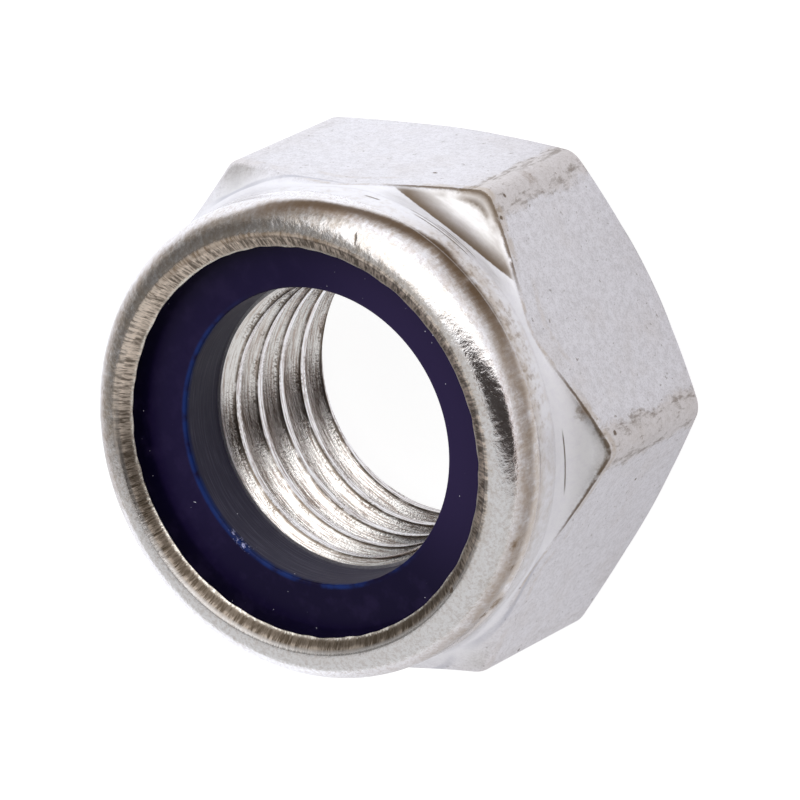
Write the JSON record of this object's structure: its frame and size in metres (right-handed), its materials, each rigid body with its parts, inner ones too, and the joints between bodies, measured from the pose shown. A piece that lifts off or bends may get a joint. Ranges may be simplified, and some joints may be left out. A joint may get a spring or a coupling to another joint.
{
  "type": "nylon insert lock nut",
  "caption": "Hexagon lock nut: steel body with a threaded bore, hollow lands at the corners and a round collar rolled over a dark nylon ring that grips the bolt's thread.",
  "frame": {"origin": "centre of the round bearing face, on which the nut stands", "axes": "+Z along the thread's axis, from the bearing face to the nylon end; two corners of the hexagon lie on X and two flats face -Y and +Y"},
  "size_m": [0.0276, 0.024, 0.0158],
  "materials": {
    "steel": "satin stainless steel, lightly pitted, with brown-grey grime along worn edges",
    "nylon": "smooth dark navy nylon with fine turning lines in the bore"
  },
  "bodies": {
    "root": {"nut_body": "steel", "nylon_ring": "nylon"}
  },
  "joints": []
}
